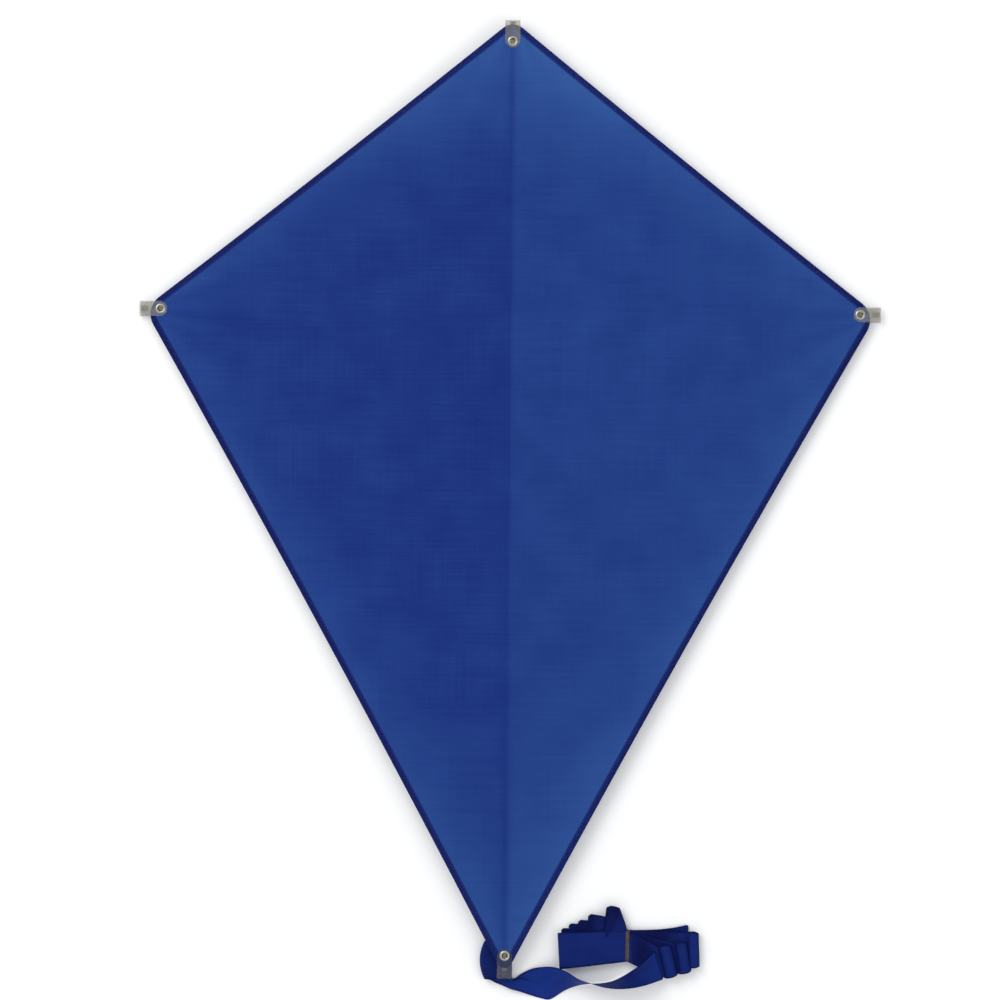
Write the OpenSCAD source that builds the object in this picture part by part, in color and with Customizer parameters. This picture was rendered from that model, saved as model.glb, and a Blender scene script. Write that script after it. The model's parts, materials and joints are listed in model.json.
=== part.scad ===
// Diamond kite lying face up: cloth sail, four clear corner tabs with eyelets,
// a spine and a cross spar that swivels on the spine, and a folded ribbon tail.
// +X is the kite's right, +Y points to the nose, +Z is up out of the sail's face.
// The origin is where the two spars cross, on the surface that the kite lies on.

/* [Sail] */
// Width of the sail between its sharp side corners
sail_w = 704; // [580:1:850]
// Length of the sail from the crossing to the sharp nose corner
nose_l = 279; // [230:1:340]
// Length of the sail from the crossing to the sharp tail corner
tail_l = 638; // [530:1:770]
// Radius of the nose corner
nose_r = 15; // [8:0.5:20]
// Radius of the side corners
side_r = 21; // [12:0.5:26]
// Radius of the tail corner
tail_r = 7.5; // [5:0.5:9]
// Thickness of the sail cloth
sail_t = 0.3; // [0.2:0.05:0.6]
// Width of the hem folded behind the edge
hem_w = 6; // [4:0.5:8]
// Thickness of the hem behind the cloth
hem_t = 0.4; // [0.3:0.05:0.8]

/* [Corner tabs] */
// Width of the clear strip that is folded round each corner
tab_w = 14.4; // [12:0.2:17]
// Thickness of the strip
tab_t = 0.6; // [0.4:0.1:1]
// Distance from an eyelet out to the folded end of its tab
tab_reach = 20.3; // [18:0.1:25]
// The same distance on the tail tab
tail_tab_reach = 22.5; // [20:0.1:27]
// Distance from an eyelet to the inner end of the strip
tab_inner = 6.4; // [6:0.1:7]
// Radius of the strip's bends, at the middle of its thickness
tab_bend = 1.2; // [0.8:0.1:1.6]
// Gap between a rod's cap and the strip around it
cap_gap = 0.25; // [0.15:0.05:0.5]

/* [Eyelets] */
// Distance from the sharp nose corner in to its eyelet
nose_inset = 20; // [18:0.5:25]
// Distance from a sharp side corner in to its eyelet
side_inset = 15.5; // [14:0.5:20]
// Distance from the sharp tail corner in to its eyelet
tail_inset = 20; // [19:0.5:25]
// Diameter of an eyelet's hole
eyelet_hole = 5; // [4:0.1:5.4]
// Outer diameter of an eyelet and of its washer
eyelet_d = 10; // [9:0.1:11]
// Wall of an eyelet's barrel
eyelet_wall = 0.4; // [0.3:0.05:0.5]
// Height of an eyelet's domed rim above the strip
rim_h = 0.9; // [0.6:0.1:1.2]
// Thickness of the washer behind
washer_t = 0.4; // [0.3:0.05:0.6]
// Width of the barrel's end where it is curled over the washer
curl_w = 0.8; // [0.5:0.1:1.2]
// Depth of the barrel's curled end behind the washer
curl_t = 0.35; // [0.2:0.05:0.5]

/* [Rods] */
// Diameter of the spine and spar rods
rod_d = 4; // [3.2:0.1:4.8]
// Gap between a rod and the curled end of an eyelet in front of it
rod_gap = 0.25; // [0.2:0.05:1]
// Wall of a rod's end cap
cap_wall = 0.5; // [0.4:0.05:0.7]
// Length of an end cap
cap_l = 7; // [5:0.5:7.5]
// Length of the tail's end cap, which stops short of the rivet
tail_cap_l = 6.4; // [5:0.1:6.5]
// Gap between a cap's end and the fold of its tab
tip_gap = 0.8; // [0.6:0.1:1.5]

/* [Swivel joint] */
// Length of each clip along its rod
clip_l = 26; // [20:1:34]
// Width of each clip
clip_w = 14; // [12:0.5:16]
// Corner radius of the clips
clip_r = 3; // [1.5:0.5:4]
// Wall of a clip around its rod, and under the spar
clip_wall = 1.9; // [1.8:0.1:3]
// Radial gap between a rod and its clip
rod_fit = 0.05; // [0.02:0.01:0.1]
// Diameter of the swivel pin
pin_d = 4; // [3:0.1:5]
// Diameter of the pin's head
pin_head_d = 7.2; // [6:0.1:8]
// Thickness of the pin's head
pin_head_t = 0.8; // [0.6:0.1:1.2]
// Radial gap where the spine clip turns on the pin
pin_fit = 0.05; // [0.02:0.01:0.1]
// Depth that the pin is pressed into the spar clip
pin_depth = 2; // [1.5:0.1:2.2]
// Thickness of the spar clip above its rod
spar_web = 2.4; // [2.4:0.1:4]
// Thickness of the spine clip's web that the pin goes through
spine_web = 1.2; // [1:0.1:2]
// Gap between the two clips, and under the pin's head
swivel_gap = 0.15; // [0.1:0.05:0.3]

/* [Tail] */
// Width of the tail ribbon
ribbon_w = 35; // [30:1:40]
// Thickness of the ribbon's single layer
ribbon_t = 0.4; // [0.3:0.05:0.6]
// How far left of the spine the ribbon turns back under the tail
fold_x = 24; // [20:1:30]
// How far right of the spine the pinned end of the ribbon reaches
root_end_x = 6; // [4:0.5:7]
// Distance from the tail eyelet to the rivet that pins the ribbon
rivet_out = 12; // [12:0.1:13]
// Diameter of the rivet's shank
rivet_d = 2.8; // [2.4:0.1:3.2]
// Diameter of the rivet's heads
rivet_head_d = 4.8; // [4.4:0.1:5]
// Thickness of the rivet's heads
rivet_head_t = 0.5; // [0.4:0.05:0.5]
// Gap around the ribbon where it turns on the rivet
rivet_gap = 0.1; // [0.05:0.01:0.15]
// Thickness of the flattened bundle left of its band
bundle_h = 9; // [7:0.5:12]
// Thickness of the looser loops right of the band
loops_h = 13; // [10:0.5:16]
// Width of the rubber band around the bundle
band_w = 4; // [2:0.5:6]
// Thickness of the rubber band
band_t = 0.8; // [0.5:0.1:1.2]

/* [Hidden] */
$fn = 48;
half_w = sail_w / 2;
nose_eyelet_y = nose_l - nose_inset;
tail_eyelet_y = tail_l - tail_inset;
side_eyelet_x = half_w - side_inset;

// Heights of the stack, measured down from the sail's top face
barrel_r = eyelet_hole / 2 + eyelet_wall;
back_depth = sail_t + hem_t + tab_t;
stack_depth = back_depth + washer_t + curl_t;
rod_drop = stack_depth + rod_gap + rod_d / 2;
cap_r = rod_d / 2 + cap_wall;
loop_depth = rod_drop + cap_r + cap_gap + tab_t;

// Heights above the floor
bore_r = rod_d / 2 + rod_fit;
spar_z = clip_wall + bore_r;
spar_clip_top = spar_z + bore_r + spar_web;
web_bottom = spar_clip_top + swivel_gap;
web_top = web_bottom + spine_web;
head_top = web_top + swivel_gap + pin_head_t;
spine_z = head_top + swivel_gap + bore_r;
sail_z = spine_z + rod_drop;
tail_tab_bottom = sail_z - loop_depth;
ribbon_top = tail_tab_bottom - rivet_gap;

// The wings fold along lines that run just outside the tabs
fold_gap = 0.3;
hinge_x = tab_w / 2 + 1.4;
dihedral = asin((spine_z - spar_z) / (side_eyelet_x - hinge_x));

// The tabs' mouth, where a rod enters the folded loop
mouth_u = eyelet_d / 2 + 1.4;
mouth_run = 1.6;
mouth_gap = 0.3;

// Rod ends
spar_tip = side_eyelet_x + tab_reach - tab_t - tip_gap;
nose_tip = nose_eyelet_y + tab_reach - tab_t - tip_gap;
tail_tip = tail_eyelet_y + tail_tab_reach - tab_t - tip_gap;

// Tail ribbon: x to the right of the spine, y from the tail eyelet towards the nose
pivot_y = -tail_eyelet_y - rivet_out;
root_mid_y = -5.5;
floor_gap = 0.1;
// Stations of the ribbon after its fold: upper edge, lower edge, thickness
lead_stations = [
    [[-9, 11.5, 1.3], [-19, -22.5, 1.3], 1],
    [[1, -12, 3.2], [-4, -29, 3.2], 5],
    [[8, -23, 3.2], [6, -32.5, 3.2], 5],
    [[22, -16, 2.4], [23, -37, 2.4], 3],
    [[37, -10.5, 8], [42, -42, 1.2], 1.2],
    [[56, -12, 24], [62, -34, 1.2], 1],
    [[79, -24, 34], [80, -27, 1.2], 1],
    [[96, -31, 33], [92, -24.5, 1.4], 1],
    [[122, -29, 22], [112, -16, 2.2], 2],
    [[146, -18.5, 9], [126, -8.5, 5], 4],
];
// Outline of the bundle left of the band, and of its loops right of the band
bundle_left = [
    [53, -13], [51, 22], [64, 32], [82, 39], [93, 46], [106, 48], [110, 43],
    [116, 25], [116, -6.5],
];
bundle_right = [
    [120, 24.5], [120, -6.5], [128, -7.5], [147, -17], [159, -19], [174, -15],
    [186, -10], [186, 28], [175, 31], [155, 30],
];
band_x = 116;
band_y = [-6.5, 24.5];
band_z = [1.2, 8];

function unit(v) = v / norm(v);
function left_of(v) = [-v[1], v[0]];
function turned(v, a) = [v[0] * cos(a) - v[1] * sin(a), v[0] * sin(a) + v[1] * cos(a)];

// Points that round the corner b between a and c
function corner_arc(a, b, c, r, steps = 8) =
    let (u = unit(a - b), v = unit(c - b))
    let (half = acos(u * v) / 2)
    let (mid = b + unit(u + v) * r / sin(half))
    let (start = b + u * r / tan(half) - mid)
    let (way = left_of(-u) * v > 0 ? 1 : -1)
    [for (k = [0:steps]) mid + turned(start, way * (180 - 2 * half) * k / steps)];

// A closed outline with each corner rounded to its own radius
function rounded(points, radii) =
    let (n = len(points))
    [for (i = [0:n - 1])
        each corner_arc(points[(i + n - 1) % n], points[i], points[(i + 1) % n], radii[i])];

// A counter-clockwise outline moved inwards by d
function inset(points, d) =
    let (n = len(points))
    [for (i = [0:n - 1])
        let (before = left_of(unit(points[i] - points[(i + n - 1) % n])))
        let (after = left_of(unit(points[(i + 1) % n] - points[i])))
        points[i] + d * (before + after) / (1 + before * after)];

// One side of a strip that follows a path, d to the left of it
function strip_side(path, d) =
    let (last = len(path) - 1)
    [for (i = [0:last])
        let (before = left_of(unit(path[max(i, 1)] - path[max(i, 1) - 1])))
        let (after = left_of(unit(path[min(i, last - 1) + 1] - path[min(i, last - 1)])))
        path[i] + d * (before + after) / (1 + before * after)];

function reversed(list) = [for (i = [len(list) - 1:-1:0]) list[i]];
function strip(path, t) = concat(strip_side(path, t / 2), reversed(strip_side(path, -t / 2)));

function kite_corners() = [[half_w, 0], [0, nose_l], [-half_w, 0], [0, -tail_l]];
function kite_outline() = rounded(kite_corners(), [side_r, nose_r, side_r, tail_r]);
function hem_inner_edge() = inset(kite_corners(), hem_w);

// Places: each corner's own frame has +X pointing out past the corner
module at_nose() translate([0, nose_eyelet_y, sail_z]) rotate([0, 0, 90]) children();
module at_tail() translate([0, -tail_eyelet_y, sail_z]) rotate([0, 0, -90]) children();
module on_wing(side)
    translate([side * hinge_x, 0, sail_z]) rotate([0, side * dihedral, 0])
    translate([-side * hinge_x, 0, 0]) children();
module at_side(side)
    on_wing(side) translate([side * side_eyelet_x, 0, 0]) rotate([0, 0, 90 - side * 90]) children();
module at_tail_ribbon() translate([0, -tail_eyelet_y, 0]) children();

// Zones that cut the flat sail: one wing, the strip between the fold lines, above and below the spar
module wing_zone(side)
    translate([side * (hinge_x + fold_gap / 2 + sail_w) - sail_w, -tail_l])
    square([2 * sail_w, nose_l + tail_l]);
module centre_zone()
    translate([-hinge_x + fold_gap / 2, -tail_l]) square([2 * hinge_x - fold_gap, nose_l + tail_l]);
module upper_zone() translate([-sail_w, 0]) square([2 * sail_w, nose_l]);
module lower_zone() translate([-sail_w, -tail_l]) square([2 * sail_w, tail_l]);

module cloth() translate([0, 0, -sail_t]) linear_extrude(sail_t) children();
module fold_back() translate([0, 0, -sail_t - hem_t]) linear_extrude(hem_t) children();
module hem_band() difference() {
    polygon(kite_outline());
    polygon(hem_inner_edge());
    translate([0, nose_eyelet_y]) circle(r = barrel_r);
    translate([0, -tail_eyelet_y]) circle(r = barrel_r);
    translate([side_eyelet_x, 0]) circle(r = barrel_r);
    translate([-side_eyelet_x, 0]) circle(r = barrel_r);
}

// Sail
module sail_centre() color("royalblue") translate([0, 0, sail_z]) difference() {
    cloth() intersection() {
        polygon(kite_outline());
        centre_zone();
    }
    translate([0, nose_eyelet_y, -1]) cylinder(r = barrel_r, h = 2);
    translate([0, -tail_eyelet_y, -1]) cylinder(r = barrel_r, h = 2);
}
module sail_wing(side) color("royalblue") on_wing(side) difference() {
    cloth() intersection() {
        polygon(kite_outline());
        wing_zone(side);
    }
    translate([side * side_eyelet_x, 0, -1]) cylinder(r = barrel_r, h = 2);
}
module sail_left() sail_wing(-1);
module sail_right() sail_wing(1);

// Hems
module hem_nose() color("midnightblue") translate([0, 0, sail_z]) fold_back() intersection() {
    hem_band();
    centre_zone();
    upper_zone();
}
module hem_tail() color("midnightblue") translate([0, 0, sail_z]) fold_back() intersection() {
    hem_band();
    centre_zone();
    lower_zone();
}
module hem_upper(side) color("midnightblue") on_wing(side) fold_back() intersection() {
    hem_band();
    wing_zone(side);
    upper_zone();
}
module hem_lower(side) color("midnightblue") on_wing(side) fold_back() intersection() {
    hem_band();
    wing_zone(side);
    lower_zone();
}
module hem_upper_left() hem_upper(-1);
module hem_upper_right() hem_upper(1);
module hem_lower_left() hem_lower(-1);
module hem_lower_right() hem_lower(1);

// Corner tabs: front leg over the sail, folded end, bottom, sloping mouth, back leg
function tab_path(reach) =
    let (top = tab_t / 2, bottom = tab_t / 2 - loop_depth, back = tab_t / 2 - back_depth)
    let (out = reach - tab_t / 2)
    let (a = [-tab_inner, top], b = [out, top], c = [out, bottom])
    let (d = [mouth_u + mouth_run, bottom], e = [mouth_u, back], f = [-tab_inner, back])
    concat(
        [a], corner_arc(a, b, c, tab_bend, 4), corner_arc(b, c, d, tab_bend, 4),
        corner_arc(c, d, e, tab_bend, 4), corner_arc(d, e, f, tab_bend, 4), [f]);
module tab(reach) color("gainsboro", 0.7) difference() {
    intersection() {
        rotate([90, 0, 0]) linear_extrude(tab_w, center = true) polygon(strip(tab_path(reach), tab_t));
        translate([0, 0, -loop_depth - 1]) linear_extrude(loop_depth + tab_t + 2) union() {
            translate([tab_w / 2 - tab_inner, 0]) circle(d = tab_w);
            translate([tab_w / 2 - tab_inner, -tab_w / 2]) square([reach + 1, tab_w]);
        }
    }
    translate([0, 0, -back_depth - 1]) cylinder(r = barrel_r, h = back_depth + tab_t + 2);
    translate([mouth_u - 1, 0, -rod_drop]) rotate([0, 90, 0])
        cylinder(r = cap_r + mouth_gap, h = mouth_run + 2.5);
}
module nose_tab() at_nose() tab(tab_reach);
module left_tab() at_side(-1) tab(tab_reach);
module right_tab() at_side(1) tab(tab_reach);
module tail_tab() difference() {
    at_tail() tab(tail_tab_reach);
    translate([0, pivot_y, tail_tab_bottom - 1]) cylinder(d = rivet_d, h = tab_t + 1.5);
}

// Eyelets: domed rim in front, barrel through the stack, end curled over the washer
module eyelet() color("silver") rotate_extrude() {
    polygon([
        [eyelet_hole / 2, -stack_depth], [barrel_r + curl_w, -stack_depth],
        [barrel_r + curl_w, curl_t - stack_depth], [barrel_r, curl_t - stack_depth],
        [barrel_r, tab_t], [eyelet_d / 2, tab_t], [eyelet_d / 2, tab_t + rim_h * 0.35],
        [eyelet_d / 2 - 0.6, tab_t + rim_h * 0.85], [eyelet_d / 2 - 1.3, tab_t + rim_h],
        [eyelet_hole / 2 + 0.5, tab_t + rim_h * 0.8], [eyelet_hole / 2, tab_t + rim_h * 0.35],
    ]);
}
module washer() color("silver") translate([0, 0, -back_depth - washer_t]) difference() {
    cylinder(d = eyelet_d, h = washer_t);
    translate([0, 0, -1]) cylinder(r = barrel_r, h = washer_t + 2);
}
module nose_eyelet() at_nose() eyelet();
module tail_eyelet() at_tail() eyelet();
module left_eyelet() at_side(-1) eyelet();
module right_eyelet() at_side(1) eyelet();
module nose_washer() at_nose() washer();
module tail_washer() at_tail() washer();
module left_washer() at_side(-1) washer();
module right_washer() at_side(1) washer();

// Rods and their end caps
module spine_rod() color("darkkhaki")
    translate([0, cap_wall - tail_tip, spine_z]) rotate([-90, 0, 0])
    cylinder(d = rod_d, h = tail_tip + nose_tip - 2 * cap_wall);
module spar_rod() color("darkkhaki")
    translate([cap_wall - spar_tip, 0, spar_z]) rotate([0, 90, 0])
    cylinder(d = rod_d, h = 2 * (spar_tip - cap_wall));
// A cap with its closed end at the origin, open towards -Z
module cap(l = cap_l) color("dimgray") difference() {
    translate([0, 0, -l]) cylinder(r = cap_r, h = l);
    translate([0, 0, -l - 1]) cylinder(d = rod_d, h = l + 1 - cap_wall);
}
module nose_cap() translate([0, nose_tip, spine_z]) rotate([-90, 0, 0]) cap();
module tail_cap() translate([0, -tail_tip, spine_z]) rotate([90, 0, 0]) cap(tail_cap_l);
module left_cap() translate([-spar_tip, 0, spar_z]) rotate([0, -90, 0]) cap();
module right_cap() translate([spar_tip, 0, spar_z]) rotate([0, 90, 0]) cap();

// Swivel joint at the crossing
module clip_pad(l, w, z0, z1)
    translate([0, 0, z0]) linear_extrude(z1 - z0)
    polygon(rounded([[l / 2, w / 2], [-l / 2, w / 2], [-l / 2, -w / 2], [l / 2, -w / 2]],
                    [clip_r, clip_r, clip_r, clip_r]));
module spine_clip() color("black") difference() {
    union() {
        clip_pad(clip_w, clip_l, web_bottom, spine_z - bore_r / 2);
        translate([0, -clip_l / 2, spine_z]) rotate([-90, 0, 0])
            cylinder(r = bore_r + clip_wall / 2, h = clip_l);
    }
    translate([0, -clip_l, spine_z]) rotate([-90, 0, 0]) cylinder(r = bore_r, h = 2 * clip_l);
    translate([0, 0, web_bottom - 1]) cylinder(r = pin_d / 2 + pin_fit, h = spine_web + 2);
    translate([0, 0, web_top]) cylinder(d = pin_head_d + 4 * pin_fit, h = sail_z);
}
module spar_clip() color("black") difference() {
    clip_pad(clip_l, clip_w, 0, spar_clip_top);
    translate([-clip_l, 0, spar_z]) rotate([0, 90, 0]) cylinder(r = bore_r, h = 2 * clip_l);
    translate([0, 0, spar_clip_top - pin_depth]) cylinder(d = pin_d, h = pin_depth + 1);
}
module swivel_pin() color("dimgray") {
    translate([0, 0, spar_clip_top - pin_depth])
        cylinder(d = pin_d, h = head_top - spar_clip_top + pin_depth);
    translate([0, 0, head_top - pin_head_t]) cylinder(d = pin_head_d, h = pin_head_t);
}

// Tail: rivet under the tail tab, pinned end with its fold, lead, bundle and band
module tail_rivet() color("silver") translate([0, pivot_y, 0]) {
    translate([0, 0, ribbon_top - ribbon_t - rivet_gap - rivet_head_t])
        cylinder(d = rivet_head_d, h = rivet_head_t);
    translate([0, 0, ribbon_top - ribbon_t - rivet_gap])
        cylinder(d = rivet_d, h = 2 * rivet_gap + ribbon_t + tab_t);
    translate([0, 0, tail_tab_bottom + tab_t]) cylinder(d = rivet_head_d, h = rivet_head_t);
}
module tail_root() color("navy") difference() {
    at_tail_ribbon() translate([0, root_mid_y + ribbon_w / 2, 0]) rotate([90, 0, 0])
        linear_extrude(ribbon_w) polygon(strip(root_path(), ribbon_t));
    translate([0, pivot_y, ribbon_top - 2]) cylinder(r = rivet_d / 2 + rivet_gap, h = 3);
}
function root_path() =
    let (top = ribbon_top - ribbon_t / 2, bottom = floor_gap + ribbon_t / 2)
    let (r = (top - bottom) / 2, mid = [-fold_x + r, (top + bottom) / 2])
    concat([[root_end_x, top]],
           [for (a = [90:15:270]) mid + r * [cos(a), sin(a)]],
           [[-fold_x + 2.4 * r, bottom]]);
// The four corners of a station's section, square to the way the ribbon runs
function station_ring(list, i) =
    let (last = len(list) - 1, a = list[i][0], b = list[i][1])
    let (ahead = list[min(i + 1, last)], behind = list[max(i - 1, 0)])
    let (run = ahead[0] + ahead[1] - behind[0] - behind[1])
    let (n = unit(cross(b - a, run)) * list[i][2] / 2)
    [a + n, b + n, b - n, a - n];
module swept(list) {
    n = len(list);
    points = [for (i = [0:n - 1]) each station_ring(list, i)];
    sides = [for (i = [0:n - 2]) for (k = [0:3])
        let (p = 4 * i + k, q = 4 * i + (k + 1) % 4)
        each [[p, q, p + 4], [q, q + 4, p + 4]]];
    end = 4 * n - 4;
    ends = [[0, 2, 1], [0, 3, 2], [end, end + 1, end + 2], [end, end + 2, end + 3]];
    polyhedron(points = points, faces = concat(sides, ends), convexity = 4);
}
module tail_lead() color("navy") at_tail_ribbon() swept(lead_stations);
module tail_bundle() color("navy") at_tail_ribbon() {
    translate([0, 0, floor_gap]) linear_extrude(bundle_h) polygon(bundle_left);
    translate([band_x - 2, band_y[0] + band_t, band_z[0]])
        cube([band_w + 8, band_y[1] - band_y[0] - 2 * band_t, band_z[1] - band_z[0]]);
    translate([0, 0, floor_gap]) linear_extrude(loops_h) polygon(bundle_right);
}
module tail_band() color("saddlebrown") at_tail_ribbon()
    translate([band_x, band_y[0], band_z[0] - band_t]) difference() {
        cube([band_w, band_y[1] - band_y[0], band_z[1] - band_z[0] + 2 * band_t]);
        translate([-1, band_t, band_t])
            cube([band_w + 2, band_y[1] - band_y[0] - 2 * band_t, band_z[1] - band_z[0]]);
    }

sail_centre();
sail_left();
sail_right();
hem_nose();
hem_tail();
hem_upper_left();
hem_lower_left();
hem_upper_right();
hem_lower_right();
nose_tab();
tail_tab();
left_tab();
right_tab();
nose_eyelet();
tail_eyelet();
left_eyelet();
right_eyelet();
nose_washer();
tail_washer();
left_washer();
right_washer();
spine_rod();
spar_rod();
nose_cap();
tail_cap();
left_cap();
right_cap();
spine_clip();
spar_clip();
swivel_pin();
tail_rivet();
tail_root();
tail_lead();
tail_bundle();
tail_band();
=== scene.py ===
"""Diamond kite with a folded ribbon tail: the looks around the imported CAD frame.

Lengths are written in millimetres and turned into metres where a mesh is made.
"""

import json
import math

import bpy
import numpy as np
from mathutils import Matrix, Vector, noise


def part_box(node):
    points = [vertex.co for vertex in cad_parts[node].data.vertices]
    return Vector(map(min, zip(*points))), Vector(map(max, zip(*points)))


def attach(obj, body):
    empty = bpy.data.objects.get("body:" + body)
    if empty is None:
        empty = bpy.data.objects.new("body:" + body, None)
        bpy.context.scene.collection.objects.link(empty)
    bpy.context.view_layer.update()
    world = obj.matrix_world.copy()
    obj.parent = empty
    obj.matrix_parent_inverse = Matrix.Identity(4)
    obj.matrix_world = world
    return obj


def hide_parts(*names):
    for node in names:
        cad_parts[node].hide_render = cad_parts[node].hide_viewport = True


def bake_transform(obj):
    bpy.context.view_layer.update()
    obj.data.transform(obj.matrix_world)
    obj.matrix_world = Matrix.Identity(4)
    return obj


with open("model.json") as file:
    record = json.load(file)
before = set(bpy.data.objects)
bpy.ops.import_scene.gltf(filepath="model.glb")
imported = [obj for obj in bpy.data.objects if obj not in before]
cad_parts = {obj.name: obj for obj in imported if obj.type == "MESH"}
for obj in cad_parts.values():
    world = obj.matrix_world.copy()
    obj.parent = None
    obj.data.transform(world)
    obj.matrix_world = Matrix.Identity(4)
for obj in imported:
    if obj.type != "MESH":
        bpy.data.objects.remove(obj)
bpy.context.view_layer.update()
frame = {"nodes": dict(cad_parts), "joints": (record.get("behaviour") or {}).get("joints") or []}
MM = 0.001


def cad_box_of(node):
    """Lowest and highest corner of a CAD node, in millimetres."""
    low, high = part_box(node)
    return np.array(low) / MM, np.array(high) / MM


def cad_centre(node):
    low, high = cad_box_of(node)
    return (low + high) / 2


# Places that the frame gives
SAIL_TOP = cad_box_of("sail_centre")[1][2]
NOSE_EYELET_Y = cad_centre("nose_eyelet")[1]
TAIL_EYELET_Y = cad_centre("tail_eyelet")[1]
SIDE_EYELET_X = cad_centre("right_eyelet")[0]
WING_FOLD = next(joint for joint in frame["joints"] if joint["name"] == "right_wing_fold")
HINGE_X = WING_FOLD["pos_m"][0] / MM

# The sail: its sharp corners from the eyelets, the corners' radii, its hem and its tilt
EYELET_INSET, SIDE_EYELET_INSET = 20, 15.6
NOSE_Y = NOSE_EYELET_Y + EYELET_INSET
TAIL_Y = TAIL_EYELET_Y - EYELET_INSET
HALF_W = SIDE_EYELET_X + SIDE_EYELET_INSET
NOSE_R, SIDE_R, TAIL_R = 15, 21, 7.5
CLOTH_T = 0.3
HEM_W = 6
SEAM_AT = 4.7
EYELET_TOP, EYELET_BOTTOM = 1.5, -2.05
SIDE_DROP = SAIL_TOP - cad_box_of("right_eyelet")[1][2] + EYELET_TOP
TILT = math.asin(SIDE_DROP / (SIDE_EYELET_X - HINGE_X))

# The tail ribbon: its width in millimetres
RIBBON_W = 35


def srgb(red, green, blue, alpha=1.0):
    """A screen colour, 0 to 255, as linear RGBA."""
    parts = [c / 255 for c in (red, green, blue)]
    return [c / 12.92 if c <= 0.04045 else ((c + 0.055) / 1.055) ** 2.4 for c in parts] + [alpha]


def ease(t):
    t = np.clip(t, 0, 1)
    return t * t * (3 - 2 * t)


# ---------------------------------------------------------------- camera, light and floor
# The camera looks straight down and sees a width of VIEW_W on the plane at VIEW_Z
CAMERA_AT = (-8.3, -181.2)
CAMERA_ROLL = 0.52
LENS = 120
SENSOR_W = 36
VIEW_W = 959.3
VIEW_Z = 15
CAMERA_ABOVE = VIEW_W * LENS / SENSOR_W
FAR_CLIP = 50
SKY_COLOUR, SKY_STRENGTH = (0.97, 0.985, 1, 1), 0.86
# Each lamp: its name, its place and aim in metres, its size in metres and its power in watts
LAMPS = (
    ("key", (-1.9, 1.5, 2.6), (0, -0.15, 0), 2.2, 52),
    ("fill", (2.2, -1.6, 2.4), (0, -0.2, 0), 2.4, 14),
)
FLOOR_HALF, FLOOR_DROP = 6000, 0.02


def make_camera():
    data = bpy.data.cameras.new("camera")
    data.lens, data.sensor_width = LENS, SENSOR_W
    camera = bpy.data.objects.new("camera", data)
    bpy.context.scene.collection.objects.link(camera)
    camera.location = Vector((*CAMERA_AT, CAMERA_ABOVE + VIEW_Z)) * MM
    camera.rotation_euler = (0, 0, math.radians(CAMERA_ROLL))
    data.clip_end = FAR_CLIP
    bpy.context.scene.camera = camera


def area_light(name, place, aim, size, power):
    data = bpy.data.lights.new(name, "AREA")
    data.shape, data.size, data.energy = "DISK", size, power
    light = bpy.data.objects.new(name, data)
    light.location = place
    light.rotation_euler = (Vector(aim) - Vector(place)).to_track_quat("-Z", "Y").to_euler()
    bpy.context.scene.collection.objects.link(light)


def make_studio():
    world = bpy.data.worlds.new("studio")
    world.use_nodes = True
    sky = world.node_tree.nodes["Background"]
    sky.inputs["Color"].default_value = SKY_COLOUR
    sky.inputs["Strength"].default_value = SKY_STRENGTH
    bpy.context.scene.world = world
    for lamp in LAMPS:
        area_light(*lamp)
    bpy.context.scene.view_settings.view_transform = "Standard"


# ---------------------------------------------------------------- materials
# Screen colours of the cloths, which the painted light and shade kept on a mesh mixes from dark to light
SAIL_DARK, SAIL_LIGHT, SAIL_UNDER_HEM = (13, 41, 120), (50, 89, 158), (4, 10, 84)
HEM_DARK, HEM_LIGHT = (2, 12, 74), (10, 24, 104)
RIBBON_DARK, RIBBON_LIGHT = (1, 5, 56), (19, 45, 122)
RIBBON_RIB, RIBBON_SELVEDGE = (22, 44, 128), (2, 10, 62)
# Millimetres from thread to thread, and from rib to rib of the ribbon
WARP, WEFT = 0.6, 0.5
RIBBON_WARP, RIBBON_RIBS = 0.45, 0.9
# The period of a wave texture of scale 1, and the range most of a noise texture lies in
WAVE_PERIOD = 0.314
NOISE_LOW, NOISE_HIGH = 0.3, 0.7


def node(tree, kind, inputs=None, **settings):
    """A node with its settings, and its inputs as values or as sockets to link."""
    new = tree.nodes.new(kind)
    for key, value in settings.items():
        setattr(new, key, value)
    for key, value in (inputs or {}).items():
        if isinstance(value, bpy.types.NodeSocket):
            tree.links.new(value, new.inputs[key])
        else:
            new.inputs[key].default_value = value
    return new


def maths(tree, operation, *values):
    return node(tree, "ShaderNodeMath", dict(enumerate(values)), operation=operation).outputs[0]


def mix(tree, share, first, second):
    inputs = {0: share, 6: first, 7: second}
    return node(tree, "ShaderNodeMix", inputs, data_type="RGBA").outputs[2]


def scaled(tree, vector, scale):
    inputs = {0: vector, 1: scale}
    return node(tree, "ShaderNodeVectorMath", inputs, operation="MULTIPLY").outputs[0]


def speckle(tree, vector, scale, detail=3.0):
    """Noise around 0.5, with scale in features per unit along each axis."""
    inputs = {"Vector": scaled(tree, vector, scale), "Scale": 1.0, "Detail": detail}
    return node(tree, "ShaderNodeTexNoise", inputs).outputs["Fac"]


def waves(tree, vector, direction, period, distortion=0.3):
    """Threads across a direction, one each period in millimetres."""
    inputs = {"Vector": vector, "Scale": WAVE_PERIOD / period, "Distortion": distortion, "Detail": 1.0}
    wave = node(tree, "ShaderNodeTexWave", inputs, wave_type="BANDS", bands_direction=direction)
    return wave.outputs["Fac"]


def weave(tree, place):
    """Height of a plain weave of warp and weft."""
    return maths(tree, "ADD", waves(tree, place, "X", WARP), waves(tree, place, "Y", WEFT))


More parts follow.
